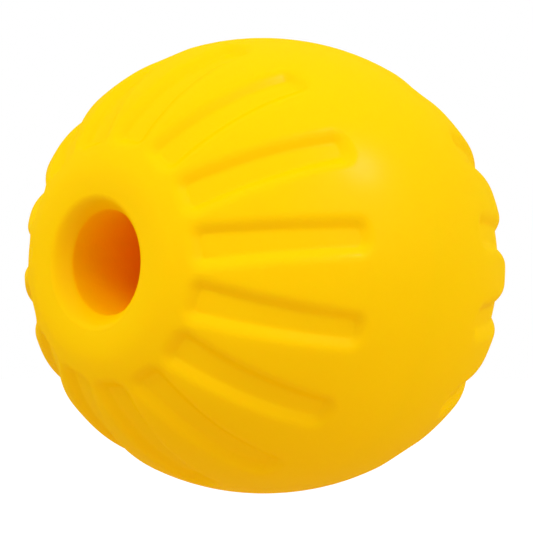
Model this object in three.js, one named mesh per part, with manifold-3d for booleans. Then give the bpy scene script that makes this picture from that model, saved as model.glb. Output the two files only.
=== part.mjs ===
// Floating dog ball: a fluted rubber ball with full shoulders and a bore right through it.
// Two moulded half skins meet at the equator and close round a ring of closed-cell foam, which keeps
// the ball afloat. A tongue on one half enters a groove in the other, at the rim and at the bore's wall,
// and a bead of cured adhesive lies in each groove.
// Millimetres, +Z up. The origin is the ball's centre, and the bore runs along Y.

import * as THREE from 'three';
import { mergeVertices } from 'three/addons/utils/BufferGeometryUtils.js';
import Module from 'manifold-3d';

// Driving dimensions
const equatorDiameter = 70;      // across the bore, at the smooth band
const poleDiameter = 76.4;       // along the bore, of the whole round before the mouths are cut
const fullness = 2.06;           // power of the outline: 2 is an ellipse, more has fuller shoulders
const boreDiameter = 15.4;
const mouthDiameter = 30;        // where the rounded lip leaves the round
const crestDiameter = 20.2;      // of the lip's highest ring
const crestHeight = 35.6;        // from the equator plane to that ring
const boreEdgeHeight = 33;       // from the equator plane to the crisp edge where the bore begins
const lipSwell = 0.45;           // share of the way from crest to bore at which the lip turns down
const lipWall = 3.6;             // rubber between the lip's crest and the foam
const skinThickness = 4;         // rubber between the round and the foam
const boreWall = 3;              // rubber round the bore

// Flutes: shallow round-ended channels along the meridians, alike on both halves
const fluteCount = 15;
const fluteRoll = 11.7;          // degrees from straight up to the near half's first flute
const farTwist = -2.5;           // degrees that the far half is turned from the near one
const fluteOuterWidth = 4.2;     // across, halfway down its walls, at the end by the equator
const fluteInnerWidth = 5.2;     // the same at the end by the mouth
const fluteDepth = 1.15;
const fluteFoot = 0.85;          // reach of the wall inside the half-depth line
const fluteShoulder = 2;         // reach of the wall outside it, where it rounds over to the land
const fluteCorner = 1.6;         // corner radius at the ends
const fluteStart = 13.4;         // along the skin from the equator to the outer end
const fluteCollar = 3.4;         // along the skin from the inner end to the lip

// Joint between the halves
const rimTongueWidth = 1.4;
const boreTongueWidth = 1;
const tongueHeight = 1.6;
const beadHeight = 0.8;
const fitGap = 0.3;              // clearance round tongues, beads and foam

// Facets
const revolveSegments = 48;
const fluteRun = 4;              // rings along a flute between its ends
const lipRings = [2, 3];         // up to the lip's crest, and down from there to the bore
const cavityRings = 6;

const equatorRadius = equatorDiameter / 2;
const poleRadius = poleDiameter / 2;
const boreRadius = boreDiameter / 2;
const mouthRadius = mouthDiameter / 2;
const meanRadius = (equatorRadius + poleRadius) / 2;
const crestRadius = crestDiameter / 2;
const mouthHeight = roundHeight(mouthRadius, equatorRadius, poleRadius);
const mouthAlong = Math.atan2(mouthHeight, mouthRadius) * meanRadius;
const fluteEnd = mouthAlong - fluteCollar;
const tubeRadius = boreRadius + boreWall;
const rimMiddle = equatorRadius - skinThickness / 2;
const tubeMiddle = boreRadius + boreWall / 2;
const grooveDepth = tongueHeight + beadHeight + 2 * fitGap;
const tongueRoot = 0.5;          // how far a tongue is sunk into its own half, to be one piece with it
const cutPast = 1;               // how far a cutter reaches beyond the face that it opens
const pitch = (2 * Math.PI) / fluteCount;

const yellowRubber = { color: 0xffd400, roughness: 0.5, metalness: 0 };
const paleFoam = { color: 0xf2ead2, roughness: 0.9, metalness: 0 };
const clearAdhesive = { color: 0xe8d9a0, roughness: 0.35, metalness: 0 };

const wasm = await Module();
wasm.setup();

function toSolid(geometry) {
  geometry.deleteAttribute('normal');
  geometry.deleteAttribute('uv');
  const merged = mergeVertices(geometry, 1e-5);
  return new wasm.Manifold(new wasm.Mesh({
    numProp: 3,
    vertProperties: merged.attributes.position.array,
    triVerts: Uint32Array.from(merged.index.array),
  }));
}

function toGeometry(solid) {
  const mesh = solid.getMesh();
  const geometry = new THREE.BufferGeometry();
  geometry.setAttribute('position', new THREE.BufferAttribute(Float32Array.from(mesh.vertProperties), 3));
  geometry.setIndex(new THREE.BufferAttribute(Uint32Array.from(mesh.triVerts), 1));
  geometry.computeVertexNormals();
  return geometry;
}

// A closed outline of [radius, height] points turned about the bore. It runs anticlockwise when height
// points up and radius to the right. side -1 makes its mirror image below the equator plane.
function revolve(outline, side = 1) {
  const points = outline.map(([radius, height]) => new THREE.Vector2(radius, side * height));
  if (side < 0) points.reverse();
  points.push(points[0].clone());
  return toSolid(new THREE.LatheGeometry(points, revolveSegments));
}

function rectangleRing(middle, width, low, high, side) {
  const inner = middle - width / 2;
  const outer = middle + width / 2;
  return revolve([[inner, low], [outer, low], [outer, high], [inner, high]], side);
}

// Outline of a round: (radius / equator) ^ fullness + (height / pole) ^ fullness = 1.
// This is its height at a distance from the bore's axis.
function roundHeight(radius, equator, pole) {
  return pole * (1 - (radius / equator) ** fullness) ** (1 / fullness);
}

// Outward direction of the skin at a point of its outline
function skinSlope(radius, height) {
  const power = fullness - 1;
  const outward = (radius / equatorRadius) ** power / equatorRadius;
  const upward = (height / poleRadius) ** power / poleRadius;
  return new THREE.Vector2(outward, upward).normalize();
}

// Point of the skin's outline a distance along it from the equator, as an angle about the ball's centre
function skinOutline(along) {
  const angle = along / meanRadius;
  const [outward, upward] = [Math.cos(angle), Math.sin(angle)];
  const sum = (outward / equatorRadius) ** fullness + (upward / poleRadius) ** fullness;
  const reach = sum ** (-1 / fullness);
  const [radius, height] = [reach * outward, reach * upward];
  return { radius, height, slope: skinSlope(radius, height) };
}

function fluteWidthAt(along) {
  return THREE.MathUtils.mapLinear(along, fluteStart, fluteEnd, fluteOuterWidth, fluteInnerWidth);
}

// Depth of a flute at a place on the skin: along from the equator, and across from the flute's middle.
// It follows the distance to a rectangle with round corners, and eases from floor to rim over the wall.
// The power puts half of the depth at distance 0, so a short foot and a long shoulder meet there.
function fluteDepthAt(along, across) {
  const middle = (fluteStart + fluteEnd) / 2;
  const past = new THREE.Vector2(
    Math.abs(along - middle) - (fluteEnd - fluteStart) / 2 + fluteCorner,
    Math.abs(across) - fluteWidthAt(along) / 2 + fluteCorner,
  );
  const outside = Math.hypot(Math.max(past.x, 0), Math.max(past.y, 0));
  const distance = outside + Math.min(Math.max(past.x, past.y), 0) - fluteCorner;
  const wall = fluteFoot + fluteShoulder;
  const share = THREE.MathUtils.clamp((distance + fluteFoot) / wall, 0, 1);
  const eased = share ** (Math.log(0.5) / Math.log(fluteFoot / wall));
  return fluteDepth * (1 - THREE.MathUtils.smootherstep(eased, 0, 1));
}

// Distances along the skin at which the half has a ring of vertices, from the equator to the mouth
function ringStations() {
  const run = [fluteStart + fluteFoot + fluteCorner, fluteEnd - fluteFoot - fluteCorner];
  const rim = [fluteStart - fluteShoulder, fluteEnd + fluteShoulder];
  const stations = [0, rim[0] / 2, rim[0]];
  stations.push(fluteStart - fluteShoulder / 3, fluteStart, fluteStart + fluteFoot);
  for (let i = 0; i <= fluteRun; i++) stations.push(THREE.MathUtils.lerp(run[0], run[1], i / fluteRun));
  stations.push(fluteEnd - fluteFoot, fluteEnd, fluteEnd + fluteShoulder / 3);
  stations.push(rim[1], mouthAlong);
  return stations;
}

// Azimuth steps within one flute's pitch: foot, half depth and head of each wall, and the land between
function pitchSteps(along, radius) {
  const limit = 0.46 * pitch;
  const half = fluteWidthAt(along) / 2;
  const angleOf = (across) => Math.asin(Math.min(across / radius, 1));
  const head = Math.min(angleOf(half + fluteShoulder), limit);
  const middle = Math.min(angleOf(half), 0.6 * head);
  const foot = Math.min(angleOf(half - fluteFoot), 0.6 * middle);
  return [-head, -middle, -foot, foot, middle, head, pitch / 2];
}

// One ring round the bore at a distance along the skin, sunk where the flutes are
function skinRing(along, roll) {
  const { radius, height, slope } = skinOutline(along);
  const ring = [];
  for (let flute = 0; flute < fluteCount; flute++) {
    for (const step of pitchSteps(along, radius)) {
      const depth = fluteDepthAt(along, radius * Math.sin(step));
      const azimuth = THREE.MathUtils.degToRad(roll) + flute * pitch + step;
      ring.push({ radius: radius - depth * slope.x, height: height - depth * slope.y, azimuth });
    }
  }
  return ring;
}

// The mouth's rounded lip: it leaves the skin along its slope, lies flat at its crest and turns down
// to the bore's crisp edge
function lipOutline() {
  const slope = skinSlope(mouthRadius, mouthHeight);
  const third = (mouthRadius - crestRadius) / 3;
  const turn = THREE.MathUtils.lerp(crestRadius, boreRadius, lipSwell);
  const mouth = new THREE.Vector2(mouthRadius, mouthHeight);
  const crest = new THREE.Vector2(crestRadius, crestHeight);
  const edge = new THREE.Vector2(boreRadius, boreEdgeHeight);
  const leave = new THREE.Vector2(mouthRadius - third, mouthHeight + third * slope.x / slope.y);
  const arrive = new THREE.Vector2(crestRadius + third, crestHeight);
  const rise = new THREE.CubicBezierCurve(mouth, leave, arrive, crest);
  const fall = new THREE.QuadraticBezierCurve(crest, new THREE.Vector2(turn, crestHeight), edge);
  return [...rise.getPoints(lipRings[0]).slice(1), ...fall.getPoints(lipRings[1]).slice(1)];
}

// Solid half of the ball, fluted outside and bored through, on one side of the equator plane
function flutedHalf(side, roll) {
  const rings = ringStations().map((along) => skinRing(along, roll));
  const azimuths = rings.at(-1).map((vertex) => vertex.azimuth);
  const plainRing = (radius, height) => azimuths.map((azimuth) => ({ radius, height, azimuth }));
  for (const point of lipOutline()) rings.push(plainRing(point.x, point.y));
  rings.push(plainRing(boreRadius, 0));

  const around = azimuths.length;
  const position = rings.flat().flatMap(({ radius, height, azimuth }) => (
    [radius * Math.sin(azimuth), side * height, radius * Math.cos(azimuth)]
  ));
  const index = [];
  for (let ring = 0; ring < rings.length; ring++) {
    for (let step = 0; step < around; step++) {
      const next = (step + 1) % around;
      const [a, b] = [ring * around + step, ring * around + next];
      const above = ((ring + 1) % rings.length) * around;
      const quad = [a, b, above + next, a, above + next, above + step];
      index.push(...(side > 0 ? quad : quad.reverse()));
    }
  }
  const geometry = new THREE.BufferGeometry();
  geometry.setAttribute('position', new THREE.Float32BufferAttribute(position, 3));
  geometry.setIndex(index);
  return toSolid(geometry);
}

// Outline of the hollow between skin, bore wall and lip, kept a margin clear of them, from the low end up
function hollowOutline(margin, low) {
  const inner = tubeRadius + margin;
  const equator = equatorRadius - skinThickness - margin;
  const pole = poleRadius - skinThickness - margin;
  const top = crestHeight - lipWall - margin;
  const outline = [[inner, low], [equator, low]];
  for (let i = low < 0 ? 0 : 1; i <= cavityRings; i++) {
    const radius = THREE.MathUtils.lerp(equator, inner, Math.sin((i / cavityRings) * Math.PI / 2) ** 2);
    outline.push([radius, Math.min(roundHeight(radius, equator, pole), top)]);
  }
  return outline;
}

function halfSkin(side, roll) {
  return flutedHalf(side, roll).subtract(revolve(hollowOutline(0, -cutPast), side));
}

function nearHalf() {
  const side = -1;
  const rim = rectangleRing(rimMiddle, rimTongueWidth, -tongueHeight, tongueRoot, side);
  const bore = rectangleRing(tubeMiddle, boreTongueWidth, -tongueHeight, tongueRoot, side);
  return halfSkin(side, fluteRoll).add(rim).add(bore);
}

function farHalf() {
  const side = 1;
  const rim = rectangleRing(rimMiddle, rimTongueWidth + 2 * fitGap, -cutPast, grooveDepth, side);
  const bore = rectangleRing(tubeMiddle, boreTongueWidth + 2 * fitGap, -cutPast, grooveDepth, side);
  return halfSkin(side, fluteRoll + farTwist).subtract(rim).subtract(bore);
}

// One ring of foam that fills the hollow of both halves
function floatCore() {
  const upper = hollowOutline(fitGap, 0).slice(2);
  const equator = [equatorRadius - skinThickness - fitGap, 0];
  const lower = upper.map(([radius, height]) => [radius, -height]).reverse();
  return revolve([...lower, equator, ...upper]);
}

function bead(middle, width) {
  const low = tongueHeight + fitGap;
  return rectangleRing(middle, width, low, low + beadHeight, 1);
}

function piece(name, solid, finish) {
  const mesh = new THREE.Mesh(toGeometry(solid), new THREE.MeshStandardMaterial(finish));
  mesh.name = name;
  return mesh;
}

const ball = new THREE.Group();
ball.add(
  piece('near_half', nearHalf(), yellowRubber),
  piece('far_half', farHalf(), yellowRubber),
  piece('float_core', floatCore(), paleFoam),
  piece('rim_bond', bead(rimMiddle, rimTongueWidth), clearAdhesive),
  piece('bore_bond', bead(tubeMiddle, boreTongueWidth), clearAdhesive),
);

export default ball;
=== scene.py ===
import math

import bpy
import numpy as np
from mathutils import Matrix


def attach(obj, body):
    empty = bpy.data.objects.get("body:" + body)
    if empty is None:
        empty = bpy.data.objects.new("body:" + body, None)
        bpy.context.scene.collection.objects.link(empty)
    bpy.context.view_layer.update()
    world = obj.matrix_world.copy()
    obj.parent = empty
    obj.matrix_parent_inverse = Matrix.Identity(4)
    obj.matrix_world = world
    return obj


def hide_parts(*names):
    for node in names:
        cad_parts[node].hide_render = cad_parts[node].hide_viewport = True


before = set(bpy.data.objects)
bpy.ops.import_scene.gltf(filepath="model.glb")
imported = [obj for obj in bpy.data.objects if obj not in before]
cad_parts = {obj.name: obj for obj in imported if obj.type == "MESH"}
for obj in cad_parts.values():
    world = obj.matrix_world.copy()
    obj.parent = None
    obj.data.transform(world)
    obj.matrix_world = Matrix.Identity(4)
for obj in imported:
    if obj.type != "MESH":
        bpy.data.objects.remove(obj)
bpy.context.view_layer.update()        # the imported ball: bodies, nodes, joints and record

mm = 0.001               # sizes below are in millimetres, meshes in metres
fullTurn = 2 * math.pi
print("frame loaded:", sorted(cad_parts))


# Shader maths written as Python: a Wire is one socket, and sums of wires add Math nodes
class Wire:
    def __init__(self, tree, socket=None):
        self.tree = tree
        self.socket = socket

    # any node: its type, its settings first, then the values or links of its sockets
    def node(self, kind, settings=None, sockets=None, output=0):
        made = self.tree.nodes.new(kind)
        for name, value in (settings or {}).items():
            setattr(made, name, value)
        for name, value in (sockets or {}).items():
            self.feed(made.inputs[name], value)
        return Wire(self.tree, made.outputs[output])

    def feed(self, socket, value):
        if isinstance(value, Wire):
            self.tree.links.new(value.socket, socket)
        else:
            socket.default_value = value

    def maths(self, operation, first, second=0.0):
        return self.node("ShaderNodeMath", {"operation": operation}, {0: first, 1: second})

    # the Mix node's colour sockets share their names with others, so they are counted
    def mixColour(self, factor, first, second):
        settings = {"data_type": "RGBA", "blend_type": "MIX"}
        return self.node("ShaderNodeMix", settings, {0: factor, 6: first, 7: second}, output=2)

    def __add__(self, other):
        return self.maths("ADD", self, other)

    def __radd__(self, other):
        return self.maths("ADD", other, self)

    def __sub__(self, other):
        return self.maths("SUBTRACT", self, other)

    def __rsub__(self, other):
        return self.maths("SUBTRACT", other, self)

    def __mul__(self, other):
        return self.maths("MULTIPLY", self, other)

    def __rmul__(self, other):
        return self.maths("MULTIPLY", other, self)


# Every material starts as an empty tree with a Principled shader at its end
def newMaterial(name):
    material = bpy.data.materials.new(name)
    material.use_nodes = True
    tree = material.node_tree
    tree.nodes.clear()
    shader = tree.nodes.new("ShaderNodeBsdfPrincipled")
    output = tree.nodes.new("ShaderNodeOutputMaterial")
    tree.links.new(shader.outputs[0], output.inputs["Surface"])
    return material, Wire(tree), shader


def setSockets(wire, shader, values):
    for name, value in values.items():
        wire.feed(shader.inputs[name], value)


# The height is in metres, so the bump's strength and distance stay at one
def bumpFrom(wire, height):
    return wire.node("ShaderNodeBump", None, {"Strength": 1.0, "Distance": 1.0, "Height": height})


# Cloudy noise on object coordinates: grain is its scale per metre, its detail and its roughness
def noiseFrom(wire, place, grain):
    scale, detail, roughness = grain
    return wire.node("ShaderNodeTexNoise", None, {
        "Vector": place, "Scale": scale, "Detail": detail, "Roughness": roughness})


# Rises from 0 to 1 while the value goes from start to end, and stays level outside
def ramp(wire, value, start, end):
    return wire.node("ShaderNodeMapRange", {"clamp": True}, {
        "Value": value, "From Min": start, "From Max": end})


rubberLook = {
    "yellow": (0.985, 0.645, 0.0, 1),      # linear colour of the moulded rubber
    "deepYellow": (0.98, 0.62, 0.0, 1),    # the same where the batch is a little darker
    "mouthShadeYellow": (0.965, 0.6, 0.0, 1),   # painted shade inside the lip, on its inner slope
    "mouthFrom": 10.4 * mm,                # distance from the axis where that painted shade begins
    "mouthTo": 9.0 * mm,
    "boreShadeOrange": (0.985, 0.58, 0.0, 1),   # painted shade and bounced light on the bore's wall, at its edge and deep inside
    "boreDeepShadeRed": (0.985, 0.465, 0.0, 1),
    "boreEdge": 7.74 * mm,                 # distance from the axis within which that colour is full
    "boreFade": 0.1 * mm,
    "deepFrom": 33.0 * mm,                 # from the equator, where that painted shade begins to deepen
    "deepTo": 18.0 * mm,
    "cloud": (55.0, 3.0, 0.5),             # slow drift of the colour: scale, detail, roughness
    "grain": (2600.0, 2.0, 0.6),           # fine moulded grain
    "grainDepth": 0.03 * mm,
    "ripple": (160.0, 1.0, 0.4),           # slight unevenness of the moulding
    "rippleDepth": 0.10 * mm,
    "roughness": 0.5,
    "gloss": 0.0,                          # none of its own, the sheen gives it
    "sheen": 0.034,                        # thin satin sheen of the moulded skin
    "sheenDrift": 0.02,
    "sheenRoughness": 0.27,
    "sheenIndex": 2.0,
    "depthGlow": 0.15,                     # light that travels inside the rubber
    "glowReach": 1.0 * mm,
    "glowShare": (1.0, 0.35, 0.05),        # of that reach for red, green and blue
}


def yellowRubber():
    look = rubberLook
    material, wire, shader = newMaterial("yellowRubber")
    place = wire.node("ShaderNodeTexCoord", output="Object")
    cloud = noiseFrom(wire, place, look["cloud"])
    grain = noiseFrom(wire, place, look["grain"])
    ripple = noiseFrom(wire, place, look["ripple"])
    relief = grain * look["grainDepth"] + ripple * look["rippleDepth"]
    # distance from the bore's axis, sqrt(x^2 + z^2), tells the bore's wall from the skin
    crosswise = wire.node("ShaderNodeVectorMath", {"operation": "MULTIPLY"}, {0: place, 1: (1, 0, 1)})
    fromAxis = wire.node("ShaderNodeVectorMath", {"operation": "LENGTH"}, {0: crosswise}, "Value")
    # the lip's inner slope is painted a little darker than the skin: painted shade
    mouthShadeMask = ramp(wire, fromAxis, look["mouthFrom"], look["mouthTo"])
    # the bore's wall is painted orange, redder deeper in: painted shade and bounced light
    boreShadeMask = ramp(wire, fromAxis, look["boreEdge"] + look["boreFade"], look["boreEdge"])
    alongBore = wire.node("ShaderNodeSeparateXYZ", None, {0: place}, "Y")
    boreShadeDeepening = ramp(wire, wire.maths("ABSOLUTE", alongBore), look["deepFrom"], look["deepTo"])
    skinYellow = wire.mixColour(cloud, look["yellow"], look["deepYellow"])
    # painted shade on the lip's inner slope
    skinYellow = wire.mixColour(mouthShadeMask, skinYellow, look["mouthShadeYellow"])
    # painted shade and bounced light of the bore, deepening inwards
    boreShadeColour = wire.mixColour(boreShadeDeepening, look["boreShadeOrange"], look["boreDeepShadeRed"])
    setSockets(wire, shader, {
        "Base Color": wire.mixColour(boreShadeMask, skinYellow, boreShadeColour),
        "Roughness": look["roughness"],
        "Normal": bumpFrom(wire, relief),
        "Specular IOR Level": look["gloss"],
        "Coat Weight": look["sheen"] + look["sheenDrift"] * (grain - 0.5),   # 0.5 is the noise's mean
        "Coat Roughness": look["sheenRoughness"],
        "Coat IOR": look["sheenIndex"],
        "Subsurface Weight": look["depthGlow"],
        "Subsurface Radius": look["glowShare"],
        "Subsurface Scale": look["glowReach"],
    })
    return material


foamLook = {
    "pale": (0.88, 0.82, 0.66, 1),
    # the darker colour lies in the cells' hollows, where the bump sinks: painted shade
    "shade": (0.74, 0.66, 0.48, 1),
    "cellScale": 900.0,                    # foam cells, per metre
    "cellDepth": 0.25 * mm,
    "roughness": 0.9,
    "roughnessDrift": 0.1,
    "gloss": 0.2,
}


def paleFoam():
    look = foamLook
    material, wire, shader = newMaterial("paleFoam")
    place = wire.node("ShaderNodeTexCoord", output="Object")
    cells = wire.node("ShaderNodeTexVoronoi", {"feature": "F1"},
                      {"Vector": place, "Scale": look["cellScale"]})
    setSockets(wire, shader, {
        # the cells' hollows are darker: painted shade
        "Base Color": wire.mixColour(cells, look["shade"], look["pale"]),
        "Roughness": look["roughness"] - look["roughnessDrift"] * cells,
        "Normal": bumpFrom(wire, cells * look["cellDepth"]),
        "Specular IOR Level": look["gloss"],
    })
    return material


adhesiveLook = {
    "clear": (0.80, 0.66, 0.34, 1),
    "cloudy": (0.70, 0.58, 0.32, 1),
    "cloud": (240.0, 2.0, 0.5),            # scale per metre, detail, roughness
    "roughness": 0.3,
    "roughnessDrift": 0.2,
    "bubbleDepth": 0.05 * mm,
}


def curedAdhesive():
    look = adhesiveLook
    material, wire, shader = newMaterial("curedAdhesive")
    place = wire.node("ShaderNodeTexCoord", output="Object")
    cloud = noiseFrom(wire, place, look["cloud"])
    setSockets(wire, shader, {
        "Base Color": wire.mixColour(cloud, look["clear"], look["cloudy"]),
        "Roughness": look["roughness"] + look["roughnessDrift"] * cloud,
        "Normal": bumpFrom(wire, cloud * look["bubbleDepth"]),
    })
    return material


# A grid of points that closes on itself both ways, (rows, columns, 3) in millimetres, made a mesh.
# Quad (i, j) joins rows i and i + 1 and columns j and j + 1, counted round. Edges that bend by more
# than the sharp angle, in degrees, stay crisp.
def ringMesh(name, points, sharpAngle):
    rows, columns = points.shape[:2]
    number = np.arange(rows * columns).reshape(rows, columns)
    along = np.roll(number, -1, axis=0)
    around = np.roll(number, -1, axis=1)
    both = np.roll(along, -1, axis=1)
    quads = np.stack([number, around, both, along], axis=-1).reshape(-1, 4)
    corner = points.reshape(-1, 3)
    a, b, c, d = (corner[quads[:, k]] for k in range(4))
    inside = np.einsum("ij,ij->", a, np.cross(b, c)) + np.einsum("ij,ij->", a, np.cross(c, d))
    if inside < 0:       # the signed volume tells which way the faces look
        quads = quads[:, ::-1]
    mesh = bpy.data.meshes.new(name)
    mesh.vertices.add(len(corner))
    mesh.vertices.foreach_set("co", (corner * mm).ravel())
    mesh.loops.add(quads.size)
    mesh.loops.foreach_set("vertex_index", np.ascontiguousarray(quads).ravel())
    mesh.polygons.add(len(quads))
    mesh.polygons.foreach_set("loop_start", np.arange(0, quads.size, 4))
    mesh.update(calc_edges=True)
    mesh.polygons.foreach_set("use_smooth", np.ones(len(quads), bool))
    mesh.set_sharp_from_angle(angle=math.radians(sharpAngle))
    mesh.validate()
    piece = bpy.data.objects.new(name, mesh)
    bpy.context.collection.objects.link(piece)
    return piece


# One outline turned about the bore: x = radius sin(azimuth), y = height, z = radius cos(azimuth)
def turn(radius, height, azimuth):
    height = np.broadcast_to(height, radius.shape)
    return np.stack([radius * np.sin(azimuth), height, radius * np.cos(azimuth)], axis=-1)


ball = {
    "equatorRadius": 35.0,
    "poleRadius": 38.2,        # of the whole round, before the mouths are cut
    "fullness": 2.06,          # power of the outline, 2 is an ellipse
    "boreRadius": 7.7,
    "mouthRadius": 15.0,       # where the lip leaves the round
    "crestRadius": 10.1,       # of the lip's highest ring
    "crestHeight": 35.6,
    "boreEdge": 33.0,          # height of the crisp edge where the bore begins
    "lipSwell": 0.45,          # share of the way from crest to bore where the lip turns down
    "lipWall": 3.6,            # rubber between the lip's crest and the foam
    "edgeRound": 0.3,          # radius worn on the crisp edge
    "skin": 4.0,
    "boreWall": 3.0,
    "rimChamfer": 0.001,       # too fine to be seen, so that the halves look like one
    "sharpAngle": 35,          # degrees
}

flute = {
    "count": 15,
    "roll": 11.7,              # degrees from straight up to the first flute's middle
    "farTwist": -2.5,          # degrees that the far half is turned from the near one
    "outerWidth": 4.2,         # at the end by the equator
    "innerWidth": 5.2,         # at the end by the mouth
    "depth": 1.15,
    "foot": 0.85,              # reach of the wall inside the half-depth line
    "shoulder": 2.0,           # reach of the wall outside it, where it rounds over to the land
    "corner": 1.6,
    "start": 13.4,
    "end": 39.2,               # both ends measured along the skin from the equator
}

joint = {
    "rimTongue": 1.4,
    "boreTongue": 1.0,
    "tongueHeight": 1.6,
    "beadHeight": 0.8,
    "gap": 0.3,
}

grid = {
    "floorColumns": 6,         # columns across a flute's floor, one of its walls and the land beside
    "wallColumns": 13,
    "landColumns": 4,
    "wallLimit": 0.92,         # the walls' columns end within this share of half a pitch
    "floorLimit": 0.4,         # and the floor's within this share of the walls'
    "bandRows": 14,            # rows from the equator to the flutes
    "endRows": 26,             # at either end of a flute
    "runRows": 30,             # between its ends
    "collarRows": 14,          # from the flutes to the lip
    "lipRows": 14,
    "edgeRows": 5,
    "boreRows": 10,
    "hollowRows": 16,
}


# Eases from 0 to 1 with no break in its bend: 6 t^5 - 15 t^4 + 10 t^3
def easeStep(t):
    return t * t * t * (t * (6 * t - 15) + 10)


# Height of a round: (radius / equator) ^ fullness + (height / pole) ^ fullness = 1
def roundHeight(radius, equator, pole):
    power = ball["fullness"]
    return pole * (1 - (radius / equator) ** power) ** (1 / power)


# Outward direction of the skin at a point of its outline, as (radial, along the bore)
def skinSlope(radius, height):
    power = ball["fullness"] - 1
    outward = (radius / ball["equatorRadius"]) ** power / ball["equatorRadius"]
    upward = (height / ball["poleRadius"]) ** power / ball["poleRadius"]
    length = np.hypot(outward, upward)
    return outward / length, upward / length


# Width of a flute, outer + (inner - outer) share, where share goes from 0 to 1 between its ends
def fluteWidth(along):
    share = (along - flute["start"]) / (flute["end"] - flute["start"])
    return flute["outerWidth"] + (flute["innerWidth"] - flute["outerWidth"]) * share


# Depth of the flutes: distance to a rectangle with round corners, eased from floor to rim over the
# wall. The power puts the half-depth line at distance 0, where a short foot and a long shoulder meet.
def fluteDepth(along, across):
    middle = (flute["start"] + flute["end"]) / 2
    pastEnd = np.abs(along - middle) - (flute["end"] - flute["start"]) / 2 + flute["corner"]
    pastSide = np.abs(across) - fluteWidth(along) / 2 + flute["corner"]
    outside = np.hypot(np.maximum(pastEnd, 0), np.maximum(pastSide, 0))
    distance = outside + np.minimum(np.maximum(pastEnd, pastSide), 0) - flute["corner"]
    wall = flute["foot"] + flute["shoulder"]
    share = np.clip((distance + flute["foot"]) / wall, 0, 1)
    power = math.log(0.5) / math.log(flute["foot"] / wall)
    return flute["depth"] * (1 - easeStep(share ** power))


# Distances along the skin from the equator to the lip, closest at the ends of the flutes
def skinRows(mouth):
    outside, inside = flute["shoulder"], flute["corner"] + flute["foot"]
    start, end = flute["start"], flute["end"]
    stops = [0, start - outside, start + inside, end - inside, end + outside, mouth]
    counts = [grid[key] for key in ("bandRows", "endRows", "runRows", "endRows", "collarRows")]
    runs = [np.linspace(low, high, count, endpoint=False)
            for low, high, count in zip(stops, stops[1:], counts)]
    return np.append(np.concatenate(runs), mouth)


# Azimuth steps across one flute's pitch on each row: land, wall, floor, wall and land, so that the
# columns follow the walls. across = radius sin(step).
def pitchSteps(along, radius):
    half = math.pi / flute["count"]
    width = fluteWidth(along)
    head = np.arcsin((width / 2 + flute["shoulder"]) / radius)
    head = np.minimum(head, grid["wallLimit"] * half)
    foot = np.arcsin((width / 2 - flute["foot"]) / radius)
    foot = np.minimum(foot, grid["floorLimit"] * head)
    counts = [grid["landColumns"] / 2, grid["wallColumns"], grid["floorColumns"]]
    stops = np.cumsum([0] + counts + counts[1::-1])
    column = np.arange(stops[-1])
    edges = [[-half, -h, -f, f, h, half] for h, f in zip(head, foot)]
    return np.array([np.interp(column, stops, row) for row in edges])


# The fluted skin from the equator to the lip. along is the angle about the ball's centre times the
# mean radius, across is the distance from the nearest flute's middle, and the depth is taken off along
# the slope. The round's reach from the centre is ((cos / equator)^p + (sin / pole)^p)^(-1/p).
def skinSurface(twist):
    equator, pole, power = ball["equatorRadius"], ball["poleRadius"], ball["fullness"]
    mean = (equator + pole) / 2
    mouthHeight = roundHeight(ball["mouthRadius"], equator, pole)
    along = skinRows(mean * math.atan2(mouthHeight, ball["mouthRadius"]))
    angle = along / mean
    reach = ((np.cos(angle) / equator) ** power + (np.sin(angle) / pole) ** power) ** (-1 / power)
    radius, height = reach * np.cos(angle), reach * np.sin(angle)
    step = pitchSteps(along, radius)
    depth = fluteDepth(along[:, None], radius[:, None] * np.sin(step))
    outward, upward = skinSlope(radius, height)
    middles = math.radians(flute["roll"]) + fullTurn / flute["count"] * np.arange(flute["count"])
    # the turn grows over the smooth band, so that the two halves share their corners at the equator
    turned = math.radians(twist) * np.minimum(along / (flute["start"] - flute["shoulder"]), 1)
    azimuth = (middles[:, None] + turned[:, None, None] + step[:, None, :]).reshape(len(along), -1)
    sunkRadius = np.tile(radius[:, None] - depth * outward[:, None], flute["count"])
    sunkHeight = np.tile(height[:, None] - depth * upward[:, None], flute["count"])
    return sunkRadius, sunkHeight, azimuth


# A Bezier from its first to its last corner: neighbours are mixed, (1 - t) a + t b, until one is left
def bend(corners, rows):
    t = np.linspace(0, 1, rows)[:, None]
    points = [np.array(corner) for corner in corners]
    while len(points) > 1:
        points = [(1 - t) * a + t * b for a, b in zip(points, points[1:])]
    return points[0]


# The lip leaves the skin along its slope, lies flat at its crest and turns down to the bore's edge
def lipOutline():
    mouth, crest, bore = ball["mouthRadius"], ball["crestRadius"], ball["boreRadius"]
    mouthHeight = roundHeight(mouth, ball["equatorRadius"], ball["poleRadius"])
    outward, upward = skinSlope(mouth, mouthHeight)
    level = ball["crestHeight"]
    third = (mouth - crest) / 3
    leave = (mouth - third, mouthHeight + third * outward / upward)
    arrive = (crest + third, level)
    turnDown = (crest + (bore - crest) * ball["lipSwell"], level)
    rise = bend([(mouth, mouthHeight), leave, arrive, (crest, level)], grid["lipRows"])
    fall = bend([(crest, level), turnDown, (bore, ball["boreEdge"])], grid["lipRows"])
    return np.concatenate([rise, fall[1:]])


# The bore from its worn edge down to the equator plane. The edge is a Bezier between lip and wall.
def boreOutline(lip):
    edge = lip[-1]
    away = lip[-2] - edge
    before = edge + away / np.linalg.norm(away) * ball["edgeRound"]
    after = edge - np.array([0, ball["edgeRound"]])
    worn = bend([before, edge, after], grid["edgeRows"])
    height = np.linspace(after[1], 0, grid["boreRows"])[1:]
    wall = np.stack([np.full(height.shape, ball["boreRadius"]), height], axis=-1)
    return np.concatenate([worn, wall])


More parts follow.
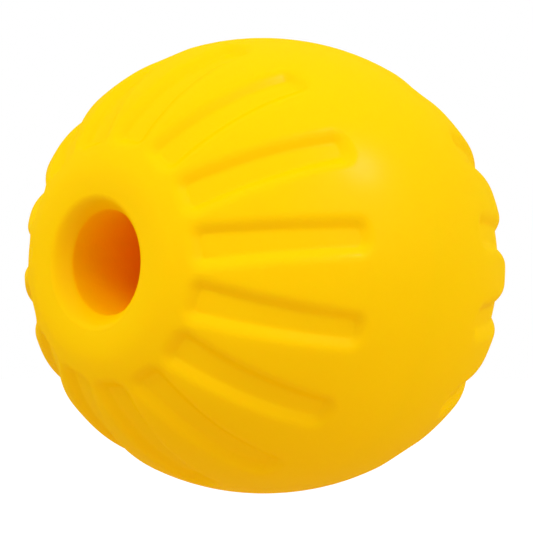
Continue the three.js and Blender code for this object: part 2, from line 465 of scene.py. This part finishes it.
# The hollow between skin, bore wall and lip, from the bore wall's foot up and round to the rim's foot:
# radius = inner + (equator - inner) sin^2 t, and the height is the round's, cut level under the lip
def hollowOutline(margin):
    inner = ball["boreRadius"] + ball["boreWall"] + margin
    equator = ball["equatorRadius"] - ball["skin"] - margin
    pole = ball["poleRadius"] - ball["skin"] - margin
    t = np.linspace(0, math.pi / 2, grid["hollowRows"])
    radius = inner + (equator - inner) * np.sin(t) ** 2
    top = ball["crestHeight"] - ball["lipWall"] - margin
    return np.stack([radius, np.minimum(roundHeight(radius, equator, pole), top)], axis=-1)


# A tongue or groove across a joint face: a rectangle's corners in the order the outline meets them
def jointStep(middle, width, height):
    inner, outer = middle - width / 2, middle + width / 2
    return np.array([[inner, 0], [inner, height], [outer, height], [outer, 0]])


# One half as a ring that closes on itself: skin, lip, bore, joint face, hollow and rim are its rows.
# side is -1 for the near half and 1 for the far one, and turns the heights along the bore.
def halfSkin(name, node, side, twist, boreStep, rimStep):
    skinRadius, skinHeight, skinAzimuth = skinSurface(twist)
    lip = lipOutline()
    tube = ball["boreRadius"] + ball["boreWall"]
    plain = np.concatenate([
        lip[1:-1], boreOutline(lip), boreStep, [[tube, 0]], hollowOutline(0),
        rimStep, [[ball["equatorRadius"] - ball["rimChamfer"], 0]],
    ])
    skinHeight[0] = ball["rimChamfer"]
    ones = np.ones((1, skinAzimuth.shape[1]))
    radius = np.concatenate([skinRadius, plain[:, :1] * ones])
    height = np.concatenate([skinHeight, plain[:, 1:] * ones])
    even = np.linspace(0, fullTurn, skinAzimuth.shape[1], endpoint=False) + skinAzimuth[-1, 0]
    # the last ring lies straight under the first, so that the chamfer between them is even
    azimuth = np.concatenate([skinAzimuth, np.tile(even, (len(plain) - 1, 1)), skinAzimuth[:1]])
    piece = ringMesh(name, turn(radius, side * height, azimuth), ball["sharpAngle"])
    piece.data.materials.append(rubberMaterial)
    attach(piece, "root")
    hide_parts(node)
    return piece


rubberMaterial = yellowRubber()
rimMiddle = ball["equatorRadius"] - ball["skin"] / 2
tubeMiddle = ball["boreRadius"] + ball["boreWall"] / 2
grooveDepth = joint["tongueHeight"] + joint["beadHeight"] + 2 * joint["gap"]
nearSkin = halfSkin(
    "nearHalfSkin", "near_half", -1, 0,
    jointStep(tubeMiddle, joint["boreTongue"], -joint["tongueHeight"]),
    jointStep(rimMiddle, joint["rimTongue"], -joint["tongueHeight"]),
)
farSkin = halfSkin(
    "farHalfSkin", "far_half", 1, flute["farTwist"],
    jointStep(tubeMiddle, joint["boreTongue"] + 2 * joint["gap"], grooveDepth),
    jointStep(rimMiddle, joint["rimTongue"] + 2 * joint["gap"], grooveDepth),
)
print("half skins made:", len(nearSkin.data.polygons), len(farSkin.data.polygons))


foamRing = {
    "columns": 240,
    "cellSwell": 0.06,         # height of the pebbled skin
    "cellsAround": 90,
    "cellsAlong": 40,
    "sharpAngle": 60,          # degrees
}


# The foam ring fills the hollow of both halves, its skin slightly pebbled by two crossed sine waves
def floatCore():
    upper = hollowOutline(joint["gap"])
    lower = upper[::-1] * np.array([1, -1])
    outline = np.concatenate([upper, lower[1:]])
    azimuth = np.linspace(0, fullTurn, foamRing["columns"], endpoint=False)[None, :]
    row = np.linspace(0, fullTurn, len(outline))[:, None]
    pebble = np.sin(foamRing["cellsAround"] * azimuth) * np.sin(foamRing["cellsAlong"] * row)
    radius = outline[:, :1] - foamRing["cellSwell"] * (1 + pebble)
    piece = ringMesh("foamRing", turn(radius, outline[:, 1:], azimuth), foamRing["sharpAngle"])
    piece.data.materials.append(paleFoam())
    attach(piece, "root")
    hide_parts("float_core")
    return piece


floatCore()
print("foam ring made")


bead = {
    "columns": 240,
    "rows": 16,
    "squareness": 0.6,         # power of the section, 1 is an ellipse and 0 a rectangle
    "ripple": 0.03,            # share of the width
    "ripples": 37,
    "sharpAngle": 80,          # degrees
}


# A bead of adhesive: a rounded rectangle of half sizes w and h, w |cos|^s sign(cos) by
# h |sin|^s sign(sin), turned about the bore, with a slight ripple where it was laid
def adhesiveBead(name, node, middle, width):
    section = np.linspace(0, fullTurn, bead["rows"], endpoint=False)[:, None]
    azimuth = np.linspace(0, fullTurn, bead["columns"], endpoint=False)[None, :]
    power = bead["squareness"]
    across = np.sign(np.cos(section)) * np.abs(np.cos(section)) ** power
    upwards = np.sign(np.sin(section)) * np.abs(np.sin(section)) ** power
    ripple = 1 - bead["ripple"] * (1 + np.sin(bead["ripples"] * azimuth))
    low = joint["tongueHeight"] + joint["gap"]
    radius = middle + width / 2 * across * ripple
    height = low + joint["beadHeight"] / 2 * (1 + upwards * ripple)
    piece = ringMesh(name, turn(radius, height, azimuth), bead["sharpAngle"])
    piece.data.materials.append(adhesiveMaterial)
    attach(piece, "root")
    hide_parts(node)
    return piece


adhesiveMaterial = curedAdhesive()
adhesiveBead("rimBead", "rim_bond", rimMiddle, joint["rimTongue"])
adhesiveBead("boreBead", "bore_bond", tubeMiddle, joint["boreTongue"])
print("adhesive beads made")


studio = {
    "floorSize": 6000.0,
    "floorGap": 60.0,          # the ball is held above the floor, as on its rope
    "floorColour": (0.78, 0.58, 0.46, 1),
    "floorLift": (0.6, 0.65, 0.75, 1),     # added for the camera, so that the lit floor is white
    "floorRoughness": 0.9,
    "worldLight": 0.765,       # strength on the ball, and where the camera sees it
    "worldSeen": 1.0,
    "bounces": 12,             # of light between the bore's walls
    "softDistance": 700.0,     # from the ball's centre
    "mouthSize": 300.0,
    "mouthPower": 1.45,        # watts
    "mouthReach": (-0.46, 0.70, 0.53),     # right, up and towards the camera: above the near mouth
    "rightSize": 600.0,
    "rightPower": 0.98,
    "rightReach": (0.70, 0.54, 0.50),
    "sideSize": 600.0,
    "sidePower": 0.4,
    "sideReach": (0.95, 0.10, 0.30),
    "keyPower": 0.5,
    "keySize": 90.0,
    "keyDistance": 420.0,
    "keyReach": (0.698, 0.657, 0.283),
}

shot = {
    "azimuth": 44.35,          # degrees, round from straight onto the near mouth
    "elevation": -1.15,
    "distance": 437.0,
    "lens": 191.4,
    "sensor": 36.0,
    "aim": (0.0, -0.11),       # right and up of the ball's centre
    "clip": (0.01, 50.0),      # metres
}


# Right, up and back directions of the camera, from its azimuth a and elevation e
def shotAxes():
    a, e = math.radians(shot["azimuth"]), math.radians(shot["elevation"])
    back = np.array([math.sin(a) * math.cos(e), -math.cos(a) * math.cos(e), math.sin(e)])
    right = np.array([math.cos(a), math.sin(a), 0.0])
    return right, np.cross(back, right), back


# Stands a camera or lamp at a place in metres, looking along minus its back direction
def setAxes(thing, right, up, back, place):
    matrix = np.eye(4)
    matrix[:3, 0], matrix[:3, 1], matrix[:3, 2], matrix[:3, 3] = right, up, back, place
    thing.matrix_world = Matrix(matrix.tolist())


def makeCamera():
    right, up, back = shotAxes()
    data = bpy.data.cameras.new("photoCamera")
    data.lens = shot["lens"]
    data.sensor_width = shot["sensor"]
    data.clip_start, data.clip_end = shot["clip"]
    camera = bpy.data.objects.new("photoCamera", data)
    bpy.context.collection.objects.link(camera)
    aim = right * shot["aim"][0] + up * shot["aim"][1]
    setAxes(camera, right, up, back, (aim + back * shot["distance"]) * mm)
    bpy.context.scene.camera = camera


# A round softbox that looks at the ball. reach is its direction as right, up and towards the camera.
def softbox(name, reach, distance, size, power):
    toLamp = np.array(reach) @ np.array(shotAxes())
    toLamp = toLamp / np.linalg.norm(toLamp)
    right = np.cross([0.0, 0.0, 1.0], toLamp)
    right = right / np.linalg.norm(right)
    lamp = bpy.data.lights.new(name, "AREA")
    lamp.shape = "DISK"
    lamp.size = size * mm
    lamp.energy = power
    holder = bpy.data.objects.new(name, lamp)
    bpy.context.collection.objects.link(holder)
    setAxes(holder, right, np.cross(toLamp, right), toLamp, toLamp * distance * mm)
    return holder


# Three softboxes shape the ball, and the small key only puts a highlight on its sheen
def makeLights():
    for place in ("mouth", "right", "side"):
        soft = softbox(place + "Softbox", studio[place + "Reach"], studio["softDistance"],
                       studio[place + "Size"], studio[place + "Power"])
        soft.visible_glossy = False
    key = softbox("keySoftbox", studio["keyReach"], studio["keyDistance"],
                  studio["keySize"], studio["keyPower"])
    key.visible_diffuse = False


# One where the camera looks straight at a surface, or through a reflection or a clear piece
def raySeen(wire):
    camera = wire.node("ShaderNodeLightPath", output="Is Camera Ray")
    glossy = wire.node("ShaderNodeLightPath", output="Is Glossy Ray")
    clear = wire.node("ShaderNodeLightPath", output="Is Transmission Ray")
    return wire.maths("MINIMUM", camera + glossy + clear, 1.0)


# The world lights the ball with a plain white, and is white to the camera and in reflections
def makeWorld():
    world = bpy.data.worlds.new("studioWorld")
    bpy.context.scene.world = world
    world.use_nodes = True
    tree = world.node_tree
    tree.nodes.clear()
    wire = Wire(tree)
    seen = raySeen(wire)
    strength = studio["worldLight"] + seen * (studio["worldSeen"] - studio["worldLight"])
    glow = wire.node("ShaderNodeBackground", None, {"Color": (1, 1, 1, 1), "Strength": strength})
    output = tree.nodes.new("ShaderNodeOutputWorld")
    tree.links.new(glow.socket, output.inputs["Surface"])


# A plain pale floor under the ball, which keeps its shadow
def makeFloor():
    half = studio["floorSize"] * mm / 2
    level = -(ball["equatorRadius"] + studio["floorGap"]) * mm
    corners = [(-half, -half, level), (half, -half, level), (half, half, level), (-half, half, level)]
    mesh = bpy.data.meshes.new("studioFloor")
    mesh.from_pydata(corners, [], [(0, 1, 2, 3)])
    floor = bpy.data.objects.new("studioFloor", mesh)
    bpy.context.collection.objects.link(floor)
    material, wire, shader = newMaterial("paleFloor")
    setSockets(wire, shader, {
        "Base Color": studio["floorColour"],
        "Roughness": studio["floorRoughness"],
        "Specular IOR Level": 0.0,
        "Emission Color": wire.mixColour(raySeen(wire), (0, 0, 0, 1), studio["floorLift"]),
        "Emission Strength": 1.0,
    })
    mesh.materials.append(material)


makeCamera()
makeLights()
makeWorld()
makeFloor()
bpy.context.scene.view_settings.view_transform = "Standard"
bpy.context.scene.cycles.diffuse_bounces = studio["bounces"]
print("studio set")
